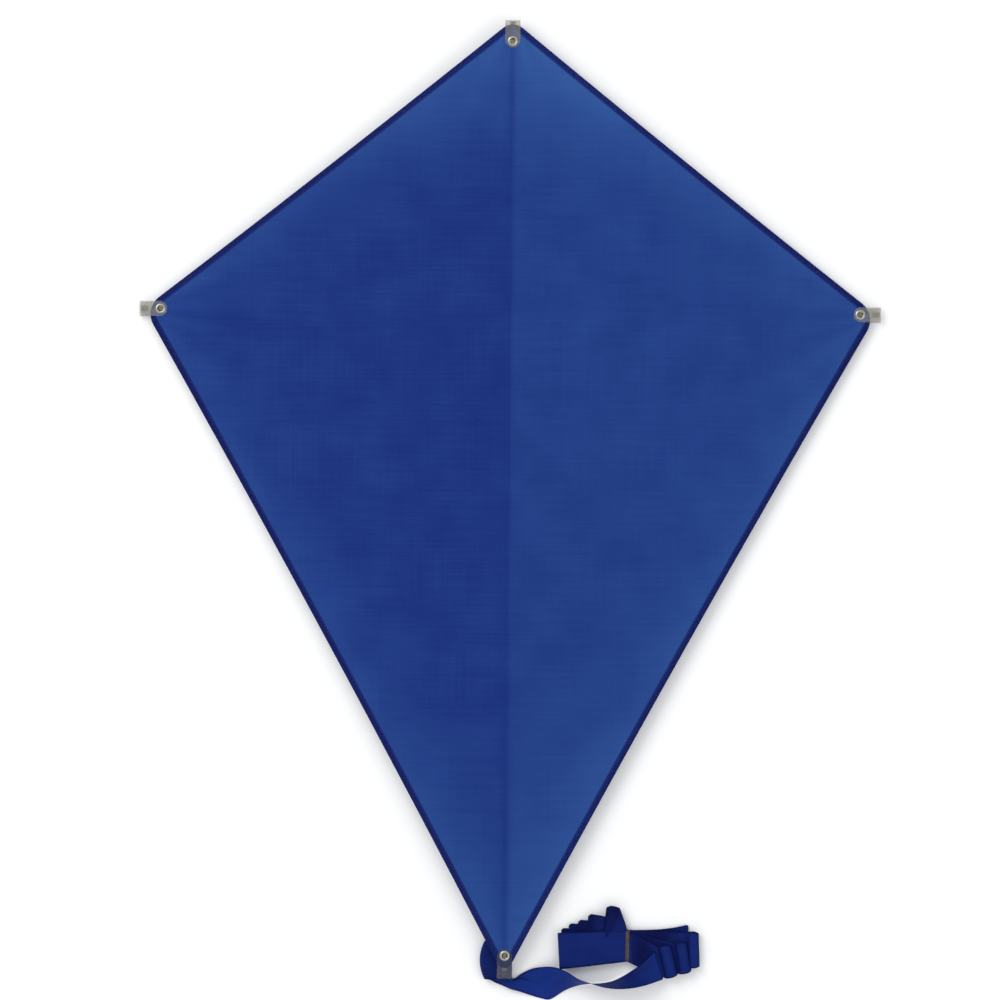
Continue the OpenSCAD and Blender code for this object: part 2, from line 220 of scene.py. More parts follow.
def spread(tree, value, low, high):
    """Noise stretched to run from low to high."""
    inputs = {"Value": value, "From Min": NOISE_LOW, "From Max": NOISE_HIGH, "To Min": low, "To Max": high}
    return node(tree, "ShaderNodeMapRange", inputs).outputs[0]


def fading(tree, value, begin, end, share):
    """That share up to begin, and less and less of it up to end."""
    inputs = {"Value": value, "From Min": begin, "From Max": end, "To Min": share, "To Max": 0.0}
    return node(tree, "ShaderNodeMapRange", inputs).outputs[0]


def start(name):
    material = bpy.data.materials.new(name)
    material.use_nodes = True
    tree = material.node_tree
    return material, tree, tree.nodes["Principled BSDF"]


def surface(tree, shader, colour, roughness, height, depth, strength):
    """Links the colour, the roughness and a bump of that depth in millimetres."""
    tree.links.new(colour, shader.inputs["Base Color"])
    tree.links.new(roughness, shader.inputs["Roughness"])
    bump = {"Height": height, "Distance": depth * MM, "Strength": strength}
    tree.links.new(node(tree, "ShaderNodeBump", bump).outputs[0], shader.inputs["Normal"])


def flat_place(tree):
    """Where a point of cloth was when it lay flat: across, along, and in from the edge."""
    attribute = node(tree, "ShaderNodeAttribute", attribute_name="flat")
    parts = node(tree, "ShaderNodeSeparateXYZ", {0: attribute.outputs["Vector"]})
    return attribute.outputs["Vector"], parts.outputs[2]


def kept_painted_light(tree):
    """The painted light and shade kept on the mesh."""
    return node(tree, "ShaderNodeAttribute", attribute_name="painted_light").outputs["Fac"]


def see_through(tree, shader, colour, share):
    """Lets that share of the light pass through thin cloth."""
    thin = node(tree, "ShaderNodeBsdfTranslucent", {"Color": colour})
    both = node(tree, "ShaderNodeMixShader", {0: share, 1: shader.outputs[0], 2: thin.outputs[0]})
    tree.links.new(both.outputs[0], tree.nodes["Material Output"].inputs["Surface"])


def sail_material():
    material, tree, shader = start("sail_cloth")
    place, edge = flat_place(tree)
    # Painted light and shade kept on the mesh, with cloudy, weft and warp tone that differs at random added
    # to it
    light = kept_painted_light(tree)
    cloudy = spread(tree, speckle(tree, place, (0.02, 0.02, 0)), -0.07, 0.07)
    weft = spread(tree, speckle(tree, place, (0.012, 0.45, 0), 4.0), -0.05, 0.05)
    warp = spread(tree, speckle(tree, place, (0.6, 0.01, 0), 3.0), -0.03, 0.03)
    shade = maths(tree, "ADD", maths(tree, "ADD", light, cloudy), maths(tree, "ADD", weft, warp))
    colour = mix(tree, shade, srgb(*SAIL_DARK), srgb(*SAIL_LIGHT))
    in_hem = fading(tree, edge, HEM_W - 0.9, HEM_W + 0.7, 1.0)
    puckered = spread(tree, speckle(tree, place, (0.5, 0.5, 0), 2.0), 0.74, 1.0)
    in_hem = maths(tree, "MULTIPLY", in_hem, puckered)
    colour = mix(tree, in_hem, colour, srgb(*SAIL_UNDER_HEM))
    threads = weave(tree, place)
    roughness = spread(tree, speckle(tree, place, (0.3, 0.3, 0)), 0.66, 0.82)
    surface(tree, shader, colour, roughness, threads, 0.06, 0.25)
    shader.inputs["Specular IOR Level"].default_value = 0.12
    shader.inputs["Sheen Weight"].default_value = 0.03
    shader.inputs["Sheen Roughness"].default_value = 0.5
    see_through(tree, shader, colour, 0.16)
    return material


def hem_material():
    material, tree, shader = start("hem_cloth")
    place, _ = flat_place(tree)
    worn = spread(tree, speckle(tree, place, (0.05, 0.4, 0.4), 4.0), 0.1, 0.9)
    colour = mix(tree, worn, srgb(*HEM_DARK), srgb(*HEM_LIGHT))
    threads = weave(tree, place)
    roughness = spread(tree, speckle(tree, place, (0.3, 0.3, 0.3)), 0.62, 0.8)
    surface(tree, shader, colour, roughness, threads, 0.06, 0.3)
    shader.inputs["Specular IOR Level"].default_value = 0.12
    return material


def ribbon_material():
    material, tree, shader = start("ribbon_cloth")
    place, edge = flat_place(tree)
    # Painted light and shade kept on the mesh, with cloudy tone that differs at random added to it
    light = kept_painted_light(tree)
    cloudy = spread(tree, speckle(tree, place, (0.05, 0.03, 0)), -0.12, 0.12)
    ribs = waves(tree, place, "Y", RIBBON_RIBS, 0.15)
    colour = mix(tree, maths(tree, "ADD", light, cloudy), srgb(*RIBBON_DARK), srgb(*RIBBON_LIGHT))
    colour = mix(tree, maths(tree, "MULTIPLY", ribs, 0.12), colour, srgb(*RIBBON_RIB))
    colour = mix(tree, fading(tree, edge, 1.2, 1.7, 0.55), colour, srgb(*RIBBON_SELVEDGE))
    warp = maths(tree, "MULTIPLY", waves(tree, place, "X", RIBBON_WARP), 0.4)
    threads = maths(tree, "ADD", ribs, warp)
    roughness = spread(tree, speckle(tree, place, (0.4, 0.1, 0)), 0.55, 0.72)
    surface(tree, shader, colour, roughness, threads, 0.12, 0.45)
    shader.inputs["Specular IOR Level"].default_value = 0.07
    return material


def object_place(tree):
    """A CAD node's own coordinates, in millimetres."""
    coordinates = node(tree, "ShaderNodeTexCoord").outputs["Object"]
    return scaled(tree, coordinates, (1 / MM, 1 / MM, 1 / MM))


def solid_material(name, dark, light, roughness, grain, depth, strength, **sockets):
    """A plain solid material: two colours, roughness low to high, and a grain per millimetre."""
    material, tree, shader = start(name)
    place = object_place(tree)
    colour = mix(tree, spread(tree, speckle(tree, place, grain, 4.0), 0, 1), srgb(*dark), srgb(*light))
    fine = speckle(tree, place, [3 * g for g in grain], 5.0)
    surface(tree, shader, colour, spread(tree, fine, *roughness), fine, depth, strength)
    for key, value in sockets.items():
        shader.inputs[key.replace("_", " ")].default_value = value
    return material


def make_materials():
    return {
        "sail": sail_material(),
        "hem": hem_material(),
        "ribbon": ribbon_material(),
        "vinyl": solid_material(
            "clear_vinyl", (156, 154, 142), (178, 176, 165), (0.18, 0.34), (0.12, 0.12, 0.12), 0.1, 0.2,
            Alpha=0.28, Coat_Weight=0.2, Coat_Roughness=0.12,
        ),
        # A darker, bluer copy of the clear vinyl for the tail tab: painted shade over the ribbon beneath it
        "vinyl_painted_shade": solid_material(
            "clear_vinyl_painted_shade_over_ribbon", (76, 78, 96), (92, 94, 112), (0.18, 0.34),
            (0.12, 0.12, 0.12), 0.1, 0.2, Alpha=0.29, Coat_Weight=0.2, Coat_Roughness=0.12,
        ),
        "nickel": solid_material(
            "nickel", (150, 150, 144), (188, 187, 180), (0.2, 0.36), (0.9, 0.9, 0.9), 0.05, 0.25,
            Metallic=1.0,
        ),
        "fibreglass": solid_material(
            "fibreglass", (142, 132, 98), (176, 166, 128), (0.3, 0.5), (0.9, 0.9, 0.9), 0.05, 0.3,
        ),
        "plastic": solid_material(
            "black_plastic", (18, 18, 20), (30, 30, 32), (0.38, 0.55), (0.8, 0.8, 0.8), 0.05, 0.3,
        ),
        "cap": solid_material(
            "vinyl_cap", (52, 50, 48), (74, 72, 68), (0.42, 0.6), (0.5, 0.5, 0.5), 0.05, 0.3,
        ),
        "rubber": solid_material(
            "rubber_band", (52, 46, 40), (88, 74, 58), (0.5, 0.7), (0.4, 0.4, 0.4), 0.06, 0.4,
        ),
        "thread": solid_material(
            "seam_thread", (4, 16, 84), (22, 40, 118), (0.5, 0.7), (1.2, 1.2, 1.2), 0.05, 0.5,
        ),
        "floor": solid_material(
            "studio_floor", (245, 245, 245), (246, 246, 246), (0.84, 0.88), (0.01, 0.01, 0.01), 0.02, 0.02,
        ),
    }


# ---------------------------------------------------------------- meshes
def make_mesh(name, points, faces, material):
    """A smooth-shaded object whose points are given in millimetres."""
    mesh = bpy.data.meshes.new(name)
    mesh.from_pydata((np.asarray(points, float) * MM).tolist(), [], faces)
    mesh.polygons.foreach_set("use_smooth", [True] * len(mesh.polygons))
    mesh.materials.append(material)
    mesh.update()
    piece = bpy.data.objects.new(name, mesh)
    bpy.context.scene.collection.objects.link(piece)
    return piece


def grid_faces(rows, columns, first=0, flip=False):
    """Quads between the points of a grid, row by row."""
    faces = []
    for i in range(rows - 1):
        for j in range(columns - 1):
            a = first + i * columns + j
            quad = [a, a + 1, a + columns + 1, a + columns]
            faces.append(quad[::-1] if flip else quad)
    return faces


def grid_normals(grid):
    across = np.gradient(grid, axis=1)
    along = np.gradient(grid, axis=0)
    normals = np.cross(across, along)
    return normals / np.linalg.norm(normals, axis=2, keepdims=True)


def shell(grid, thickness):
    """Points and faces of a closed sheet of that thickness around a grid of points."""
    rows, columns = grid.shape[:2]
    offset = grid_normals(grid) * thickness / 2
    count = rows * columns
    points = np.concatenate([(grid + offset).reshape(-1, 3), (grid - offset).reshape(-1, 3)])
    faces = grid_faces(rows, columns) + grid_faces(rows, columns, count, flip=True)
    rim = list(range(columns))
    rim += [i * columns + columns - 1 for i in range(1, rows)]
    rim += [(rows - 1) * columns + j for j in range(columns - 2, -1, -1)]
    rim += [i * columns for i in range(rows - 2, 0, -1)]
    for a, b in zip(rim, rim[1:] + rim[:1]):
        faces.append([b, a, a + count, b + count])
    return points, faces


def store(piece, name, values, kind="FLOAT_VECTOR"):
    """Keeps a number or a vector for each point of a mesh, for its material to read."""
    attribute = piece.data.attributes.new(name, kind, "POINT")
    field = "vector" if kind == "FLOAT_VECTOR" else "value"
    attribute.data.foreach_set(field, np.asarray(values, np.float32).ravel())


def rings(paths, closed=True):
    """Faces that join rings of equal length, with a cap on each end if the tube isn't closed."""
    count, sides = len(paths), len(paths[0])
    points = [p for ring in paths for p in ring]
    faces = []
    for i in range(count if closed else count - 1):
        for j in range(sides):
            a, b = i * sides + j, i * sides + (j + 1) % sides
            c, d = ((i + 1) % count) * sides + (j + 1) % sides, ((i + 1) % count) * sides + j
            faces.append([a, b, c, d])
    if not closed:
        faces.append(list(range(sides))[::-1])
        faces.append([(count - 1) * sides + j for j in range(sides)])
    return points, faces


# ---------------------------------------------------------------- sail
EDGE_BOW_UPPER, EDGE_BOW_LOWER = 1.2, 3.0
# Points of the outline: how far apart along an edge, and steps round the corners
OUTLINE_STEP = 5
TIP_STEPS, SIDE_STEPS = 16, 14
# The outline's first and last points are at least this far from the spine
TIP_CLEAR = 0.4
# Grid columns from the spine to the edge, crowded towards the spine
SAIL_COLUMNS, CROWDING = 58, 1.4
# How far inside the hem's roll the cloth ends, and the radius of its holes for the eyelets
CLOTH_INSET, HOLE_R = 0.35, 2.95
# How far the middle of a half hangs below its plane, and the lengths that this grows over, from
# SLACK_X outwards and from the edge inwards
SLACK, SLACK_X = 1.3, 12
SLACK_OUTWARDS, SLACK_INWARDS = 140, 90
# Folds pulled from each corner: how many in a full turn, and how far they reach
SIDE_FOLDS, NOSE_FOLDS, TAIL_FOLDS = (15, 95), (15, 80), (21, 120)
# The length that they grow over, and the heights of those of the nose and the tail
FOLD_GROWS, NOSE_FOLD_H, TAIL_FOLD_H = 25, 0.6, 0.5
# Packing creases: their width, how far up or out each runs, and its height. The top one begins
# away from the spine, at TOP_CREASE_X
CREASE_W = 3
TOP_CREASE_Y, TOP_CREASE_W, TOP_CREASE_H = 73, 2.5, 0.22
TOP_CREASE_X, TOP_CREASE_GROWS = 60, 30
CREASES_ACROSS = ((-122, 0.16), (-318, 0.14))
CREASE_ALONG_X, CREASE_ALONG_H = 118, 0.12
# Slow unevenness of the cloth: its height, its size, and the slice of the noise it is taken from
UNEVEN_H, UNEVEN_SIZE, UNEVEN_SLICE = 0.8, 70, 3.7
# Round each eyelet, along the spine and by the edge the cloth is flat: how wide, and over what
# length the folds begin beyond that
FLAT_R, FLAT_FADE = 11, 22
FLAT_SPINE, SPINE_FADE = 9, 30
EDGE_FADE = 24
# Painted light and shade of the cloth, after tones read from the photograph: the least, and what
# the right half, the edge, the tail end, the nose end and the pulled folds add
LEAST_LIGHT, RIGHT_ADDS, EDGE_ADDS = 0.12, 0.17, 0.36
TAIL_ADDS, NOSE_ADDS, FOLDS_ADD = 0.16, 0.36, 0.07
# Where the painted light of both ends begins, the length that it grows over, and how far the edge's reaches
TAIL_LIT, TAIL_GROWS = -300, 330
NOSE_LIT, NOSE_GROWS = 110, 150
EDGE_REACH = 30
# The painted shadow of the spine rod: its middle, its width, how dark it is, and what the ends add
SPINE_SHADOW_X, SPINE_SHADOW_W, SPINE_SHADOW_DARK = 1, 3, 0.06
SPINE_SHADOW_NOSE_ADDS, SPINE_SHADOW_TAIL_ADDS = 0.3, 0.24


def corner_points(before, corner, after, radius, steps):
    """Points of the arc that rounds a corner, from the side of before to that of after."""
    u = (before - corner) / np.linalg.norm(before - corner)
    v = (after - corner) / np.linalg.norm(after - corner)
    half = math.acos(float(u @ v)) / 2
    centre = corner + (u + v) / np.linalg.norm(u + v) * radius / math.sin(half)
    first = corner + u * radius / math.tan(half) - centre
    last = corner + v * radius / math.tan(half) - centre
    turn = math.pi - 2 * half
    points = []
    for k in range(steps + 1):
        a = k / steps
        share = math.sin((1 - a) * turn) / math.sin(turn), math.sin(a * turn) / math.sin(turn)
        points.append(centre + first * share[0] + last * share[1])
    return points


def bowed_edge(begin, end, bow):
    """Points between two corners along an edge that tension pulls in."""
    along = end - begin
    length = np.linalg.norm(along)
    inward = np.array([along[1], -along[0]]) / length
    count = int(length / OUTLINE_STEP)
    shares = [k / count for k in range(1, count)]
    return [begin + along * s + inward * bow * 4 * s * (1 - s) for s in shares]


def half_outline():
    """The sail's right edge from the nose down to the tail."""
    nose, side, tail = np.array([0, NOSE_Y]), np.array([HALF_W, 0.0]), np.array([0, TAIL_Y])
    left = np.array([-HALF_W, 0.0])
    top = [p for p in corner_points(left, nose, side, NOSE_R, TIP_STEPS) if p[0] > TIP_CLEAR]
    middle = corner_points(nose, side, tail, SIDE_R, SIDE_STEPS)
    bottom = [p for p in corner_points(side, tail, left, TAIL_R, TIP_STEPS) if p[0] > TIP_CLEAR]
    upper = bowed_edge(top[-1], middle[0], EDGE_BOW_UPPER)
    lower = bowed_edge(middle[-1], bottom[0], EDGE_BOW_LOWER)
    return np.array(top + upper + middle + lower + bottom)


OUTLINE = half_outline()


def edge_distance(x, y):
    """How far in from the nearer edge a point lies, leaving the round corners out."""
    upper = np.hypot(HALF_W, NOSE_Y)
    lower = np.hypot(HALF_W, TAIL_Y)
    s_upper = np.clip(1 - y / NOSE_Y, 0, 1)
    s_lower = np.clip(1 - y / TAIL_Y, 0, 1)
    to_upper = (HALF_W * NOSE_Y - NOSE_Y * x - HALF_W * y) / upper
    to_lower = (-HALF_W * TAIL_Y + TAIL_Y * x + HALF_W * y) / lower
    to_upper = to_upper - EDGE_BOW_UPPER * 4 * s_upper * (1 - s_upper)
    to_lower = to_lower - EDGE_BOW_LOWER * 4 * s_lower * (1 - s_lower)
    return np.minimum(to_upper, to_lower)


def crease(distance, width):
    return np.exp(-np.abs(distance) / width)


def fan(x, y, corner, count, reach, phase):
    """Soft folds that spread from a corner under tension."""
    dx, dy = x - corner[0], y - corner[1]
    angle, away = np.arctan2(dy, dx), np.hypot(dx, dy)
    return np.sin(angle * count + phase) * np.exp(-away / reach) * ease(away / FOLD_GROWS)


def corner_folds(side, x, y):
    """Soft folds pulled from the side, the nose and the tail corner."""
    from_side = fan(x, y, (HALF_W, 0), *SIDE_FOLDS, 0.4 + side)
    from_nose = fan(x, y, (0, NOSE_Y), *NOSE_FOLDS, 1.1 * side)
    from_tail = fan(x, y, (0, TAIL_Y), *TAIL_FOLDS, 0.7 * side)
    return from_side, from_nose, from_tail


def packing_creases(side, x, y):
    """Height of the creases left by packing. The top one is further out, and higher on the right."""
    grown = ease((x - TOP_CREASE_X) / TOP_CREASE_GROWS)
    height = crease(y - TOP_CREASE_Y, TOP_CREASE_W) * grown * TOP_CREASE_H * (1 + 0.5 * side)
    for at, lift in CREASES_ACROSS:
        height = height + lift * crease(y - at, CREASE_W)
    return height + CREASE_ALONG_H * crease(x - CREASE_ALONG_X, CREASE_W)


def unevenness(side, x, y):
    places = zip(x.ravel() * side / UNEVEN_SIZE, y.ravel() / UNEVEN_SIZE)
    heights = [UNEVEN_H * noise.noise(Vector((a, b, UNEVEN_SLICE))) for a, b in places]
    return np.array(heights).reshape(x.shape)


def relief(side, x, y):
    """Height of the cloth above its flat plane: slack, tension folds and packing creases."""
    edge = edge_distance(x, y)
    slack = -SLACK * ease((x - SLACK_X) / SLACK_OUTWARDS) * ease(edge / SLACK_INWARDS)
    from_side, from_nose, from_tail = corner_folds(side, x, y)
    pulls = from_side + NOSE_FOLD_H * from_nose + TAIL_FOLD_H * from_tail
    inside = ease(edge / EDGE_FADE) * ease((x - FLAT_SPINE) / SPINE_FADE)
    for at in ((0, NOSE_EYELET_Y), (0, TAIL_EYELET_Y), (SIDE_EYELET_X, 0)):
        inside = inside * ease((np.hypot(x - at[0], y - at[1]) - FLAT_R) / FLAT_FADE)
    return slack + inside * (pulls + packing_creases(side, x, y) + unevenness(side, x, y))


def lay(side, x, y, height):
    """Flat sail places, with x out from the spine, set on a wing's tilted plane."""
    out = np.maximum(x - HINGE_X, 0)
    lift = height + relief(side, x, y)
    across = np.minimum(x, HINGE_X) + out * math.cos(TILT) + lift * math.sin(TILT) * (out > 0)
    up = SAIL_TOP - out * math.sin(TILT) + lift
    return np.stack([side * across, y, up], axis=-1)


def painted_light(side, x, y):
    """Painted light and shade of the cloth: lighter by the edges, towards both ends and on the right half,
    lighter and darker along the pulled folds, and a painted shadow on the spine.
    """
    edge = edge_distance(x, y)
    tail_end, nose_end = ease((TAIL_LIT - y) / TAIL_GROWS), ease((y - NOSE_LIT) / NOSE_GROWS)
    right = RIGHT_ADDS * ease((side * x + 5) / 10)
    # A painted shadow of the spine rod along the spine, darker towards both ends
    spine_shadow = SPINE_SHADOW_DARK + SPINE_SHADOW_NOSE_ADDS * nose_end + SPINE_SHADOW_TAIL_ADDS * tail_end
    spine_shadow = crease(x - SPINE_SHADOW_X, SPINE_SHADOW_W) * spine_shadow
    from_side, from_nose, _ = corner_folds(side, x, y)
    lit = EDGE_ADDS * np.exp(-np.maximum(edge, 0) / EDGE_REACH) + TAIL_ADDS * tail_end + NOSE_ADDS * nose_end
    return LEAST_LIGHT + right + lit + FOLDS_ADD * (from_side + from_nose) - spine_shadow


def cut_hole(piece, centre):
    """Cuts the round hole for an eyelet through a sheet."""
    bpy.ops.mesh.primitive_cylinder_add(vertices=48, radius=HOLE_R * MM, depth=0.01, location=centre * MM)
    cutter = bpy.context.object
    modifier = piece.modifiers.new("hole", "BOOLEAN")
    modifier.object, modifier.solver = cutter, "EXACT"
    depsgraph = bpy.context.evaluated_depsgraph_get()
    mesh = bpy.data.meshes.new_from_object(piece.evaluated_get(depsgraph))
    piece.modifiers.clear()
    old, piece.data = piece.data, mesh
    mesh.name = old.name
    bpy.data.objects.remove(cutter)


def make_sail_half(side, name, material):
    shares = (np.arange(SAIL_COLUMNS) / (SAIL_COLUMNS - 1)) ** CROWDING
    edge_x = OUTLINE[:, 0] - CLOTH_INSET
    x = edge_x[:, None] * shares[None, :]
    y = np.repeat(OUTLINE[:, 1][:, None], SAIL_COLUMNS, axis=1)
    grid = lay(side, x, y, -CLOTH_T / 2)
    points, faces = shell(grid if side > 0 else grid[:, ::-1], CLOTH_T)
    piece = make_mesh(f"sail_cloth_{name}", points, faces, material)
    for eyelet in ("nose_eyelet", "tail_eyelet", f"{name}_eyelet"):
        cut_hole(piece, cad_centre(eyelet))
    place = np.array([v.co for v in piece.data.vertices]) / MM
    x, y = np.abs(place[:, 0]), place[:, 1]
    store(piece, "flat", np.stack([place[:, 0], y, edge_distance(x, y)], axis=-1))
    # The cloth's painted light and shade, kept for its material
    store(piece, "painted_light", painted_light(side, x, y), "FLOAT")
    return piece


# The hem's section: in from the edge, and up from the sail's face
HEM_BACK = -0.7
HEM_SECTION = [
    (0.75, 0.02), (0.3, 0.01), (0.08, -0.12), (0, -0.35), (0.08, -0.58), (0.35, -0.68),
    (3, HEM_BACK), (HEM_W - 0.1, -0.69), (HEM_W, -0.5), (HEM_W - 0.1, -0.33), (3, -0.32), (0.75, -0.31),
]


# How far the hem and the stitches keep from the line that the two halves share
SPINE_CLEAR, STITCH_CLEAR = 0.05, 0.02


def outline_normals():
    along = np.gradient(OUTLINE, axis=0)
    inward = np.stack([along[:, 1], -along[:, 0]], axis=-1)
    return inward / np.linalg.norm(inward, axis=1, keepdims=True)


def along_edge(inset):
    """The outline moved in by inset, kept on its own side of the spine."""
    moved = OUTLINE + outline_normals() * inset
    moved[:, 0] = np.maximum(moved[:, 0], SPINE_CLEAR)
    return moved


def make_hem(side, name, material):
    paths = [along_edge(inset) for inset, _ in HEM_SECTION]
    section = [
        lay(side, p[:, 0], p[:, 1], 0) + np.array([0, 0, height])
        for p, (_, height) in zip(paths, HEM_SECTION)
    ]
    tube = np.stack(section, axis=1)
    points, faces = rings(tube if side < 0 else tube[:, ::-1], closed=False)
    piece = make_mesh(f"hem_{name}", points, faces, material)
    store(piece, "flat", points)
    return piece


STITCH, STITCH_GAP, THREAD_R = 2.5, 0.8, 0.17
STITCH_SIDES = 6
# Rings of a stitch: share of its length from its middle, lift, and share of the thread's radius
STITCH_RINGS = ((-0.5, -0.08, 0.5), (-0.3, 0.1, 1), (0.3, 0.1, 1), (0.5, -0.08, 0.5))


def walk(path, step):
    """Places at equal steps along a path."""
    lengths = np.concatenate([[0], np.cumsum(np.linalg.norm(np.diff(path, axis=0), axis=1))])
    at = np.arange(step, lengths[-1] - step, step)
    return np.stack([np.interp(at, lengths, path[:, k]) for k in range(2)], axis=-1)


def stitch(side, middle, direction, height):
    """Rings of one stitch: it rises from the cloth, runs on top and sinks in again."""
    across = np.array([-direction[1], direction[0]])
    result = []
    for along, lift, size in STITCH_RINGS:
        ring = []
        for k in range(STITCH_SIDES):
            a = 2 * math.pi * k / STITCH_SIDES
            p = middle + direction * along * STITCH + across * THREAD_R * size * math.cos(a)
            z = height + lift + THREAD_R * size * math.sin(a)
            ring.append((max(p[0], STITCH_CLEAR), p[1], z))
        result.append(ring)
    return result


def make_stitching(side, name, material):
    path = along_edge(SEAM_AT)
    places = walk(path, STITCH + STITCH_GAP)
    heading = np.gradient(places, axis=0)
    heading /= np.linalg.norm(heading, axis=1, keepdims=True)
    points, faces = [], []
    for middle, direction in zip(places, heading):
        for height in (0.0, HEM_BACK):
            new, quads = rings(stitch(side, middle, direction, height), closed=False)
            faces += [[i + len(points) for i in quad] for quad in quads]
            points += new
    flat = np.array(points)
    place = lay(side, flat[:, 0], flat[:, 1], 0)
    place[:, 2] += flat[:, 2]
    if side > 0:
        faces = [face[::-1] for face in faces]
    return make_mesh(f"hem_stitching_{name}", place, faces, material)


def bend_with_wing(piece):
    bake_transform(piece)


def make_sail(materials):
    hems = {
        "left": ("hem_upper_left", "hem_lower_left", "hem_nose"),
        "right": ("hem_upper_right", "hem_lower_right", "hem_tail"),
    }
    for side, name in ((-1, "left"), (1, "right")):
        sail = make_sail_half(side, name, materials["sail"])
        hem = make_hem(side, name, materials["hem"])
        stitching = make_stitching(side, name, materials["thread"])
        for piece in (sail, hem, stitching):
            bend_with_wing(piece)
        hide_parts(f"sail_{name}", *(["sail_centre"] if side < 0 else []))
        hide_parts(*hems[name])


# ---------------------------------------------------------------- eyelets
# Section of an eyelet: distance from its axis, and height above the sail's face
EYELET_SECTION = [
    (2.55, 0.4), (2.66, 0.85), (2.85, 1.15), (3.15, 1.4), (3.55, EYELET_TOP), (3.95, 1.44), (4.35, 1.22),
    (4.7, 0.92), (5.0, 0.72), (4.98, 0.61), (2.9, 0.6), (2.9, -1.72), (3.4, -1.72), (3.68, -1.8),
    (3.68, -1.95), (3.45, -2.04), (2.9, EYELET_BOTTOM), (2.6, -1.98), (2.5, -1.8), (2.5, -0.5),
]
EYELET_STEPS = 56
# Each eyelet: its name, its body, and how far it tilts down to the right
EYELETS = (
    ("nose", "spine", 0),
    ("tail", "spine", 0),
    ("left", "left_wing", -TILT),
    ("right", "right_wing", TILT),
)


def make_eyelet(name, body, tilt, material):
    centre = cad_centre(f"{name}_eyelet")
    middle = (EYELET_TOP + EYELET_BOTTOM) / 2
    section = []
    for k in range(EYELET_STEPS):
        a = 2 * math.pi * k / EYELET_STEPS
        section.append([(r * math.cos(a), r * math.sin(a), z - middle) for r, z in EYELET_SECTION])
    points, faces = rings(section)
    points = np.array(points)
    turned_x = points[:, 0] * math.cos(tilt) + points[:, 2] * math.sin(tilt)
    turned_z = -points[:, 0] * math.sin(tilt) + points[:, 2] * math.cos(tilt)
    points = np.stack([turned_x, points[:, 1], turned_z], axis=-1) + centre
    piece = make_mesh(f"{name}_eyelet_rim", points, faces, material)
    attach(piece, body)
    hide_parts(f"{name}_eyelet")


# ---------------------------------------------------------------- tail ribbon
# Places are in millimetres: x to the right of the spine, y from the tail eyelet, z from the floor.
# A row of the ribbon is ten numbers: the places of its first and its second edge, and then these, the last
# of which is its painted light and shade.
# The first edge is the upper one up to the half twist, and the lower one after it.
PLEATED, LIFT, BOW, PAINTED_LIGHT = range(6, 10)
HEIGHTS = (2, 5)
# The pinned end: the y of both edges, its height, where it runs level, and its turn at the left
ROOT_UPPER, ROOT_LOWER = 12, -23.5
ROOT_Z, ROOT_BOW = 9.25, 4.5
ROOT_LEVEL_X = (7.4, 1, -5, -10)
ROOT_R, ROOT_TURN_X, ROOT_STEPS = 4.45, (-15, -14.5), 12
# Where its bow begins and the length that this grows over, how far its lower edge drifts down in
# the turn, its painted light and shade, and what each step of the turn adds to that
BOW_X, BOW_GROWS = 6, 18
ROOT_DRIFT = 2
ROOT_PAINTED_LIGHT, PAINTED_LIGHT_STEP = 0.3, 0.025
# Stations of the free ribbon beside the tail: upper edge, lower edge, share pleated, height of
# the pleats, how far it bows to the left, and its painted light and shade
LEAD = [
    ((-13, 12, 0.4), (-13, -26, 0.4), 0.0, 0, ROOT_BOW, 0.6),
    ((-6, 3, 0.8), (-8, -28.4, 0.6), 0.3, 2, 2.0, 0.7),
    ((2, -13, 1.2), (-1, -30.6, 0.8), 0.8, 4, 0, 0.85),
    ((8.5, -24, 1.4), (7, -33.6, 0.9), 1.0, 5, 0, 0.85),
    ((16, -19.6, 1.2), (15.5, -36.4, 0.8), 0.7, 4, 0, 0.85),
    ((26, -14.6, 1.6), (25.5, -39.8, 0.8), 0.35, 3, 0, 0.85),
]
# Stations of its half twist: each edge where the camera sees it against the plane at VIEW_Z,
# with its own height, and the painted light and shade
TWIST = [
    ((37, -10.7, 6), (36, -40.9, 0.8), 0.85),
    ((48.5, -11, 14), (44.5, -41.4, 0.8), 0.85),
    ((60, -15.4, 22), (58.5, -32.8, 0.9), 0.85),
    ((71.5, -22.4, 29), (71, -28.2, 1.1), 0.85),
    ((83, -26.3, 33), (82, -26.5, 1.3), 0.7),
    ((96, -30, 33), (93, -25.9, 1.5), 0.45),
    ((110, -31.3, 31), (104, -23.6, 1.8), 0.4),
    ((124, -30.2, 26.5), (114.5, -18.6, 3), 0.4),
    ((136, -27.4, 20), (124, -12.4, 6.5), 0.45),
    ((145, -24.4, 14), (134, -5, 10), 0.55),
    ((151.4, -22, 10), (143.2, 4.2, 11), 0.7),
]
# Stations of its last turn down into the bundle: both edges, and the painted light and shade, darker as it
# turns down
LEAD_END = [
    ((152.6, -21.8, 8.4), (144.4, 4.4, 9.6), 0.5),
    ((152.4, -21.5, 7.0), (144.2, 4.3, 8.2), 0.2),
    ((150, -20.5, 6.2), (142, 3.8, 7.4), 0.1),
]
# Steps from one station to the next, and shares of the way from the last to the band with rows
LEAD_STEPS, LEAD_SHARES = 6, (0.3, 0.6, 0.85)
# The ribbon under the rubber band: its edges, the top layer's height, and the layers' step
BAND_X, BAND_LOW, BAND_HIGH = 118, -6, 24
BAND_TOP, BAND_STEP = 7.7, 0.56
# Painted light and shade of the ribbon at the band, and where it leaves the band to the left and to the
# right
BAND_PAINTED_LIGHT, LEFT_PAINTED_LIGHT, RIGHT_PAINTED_LIGHT = 0.4, 0.45, 0.3
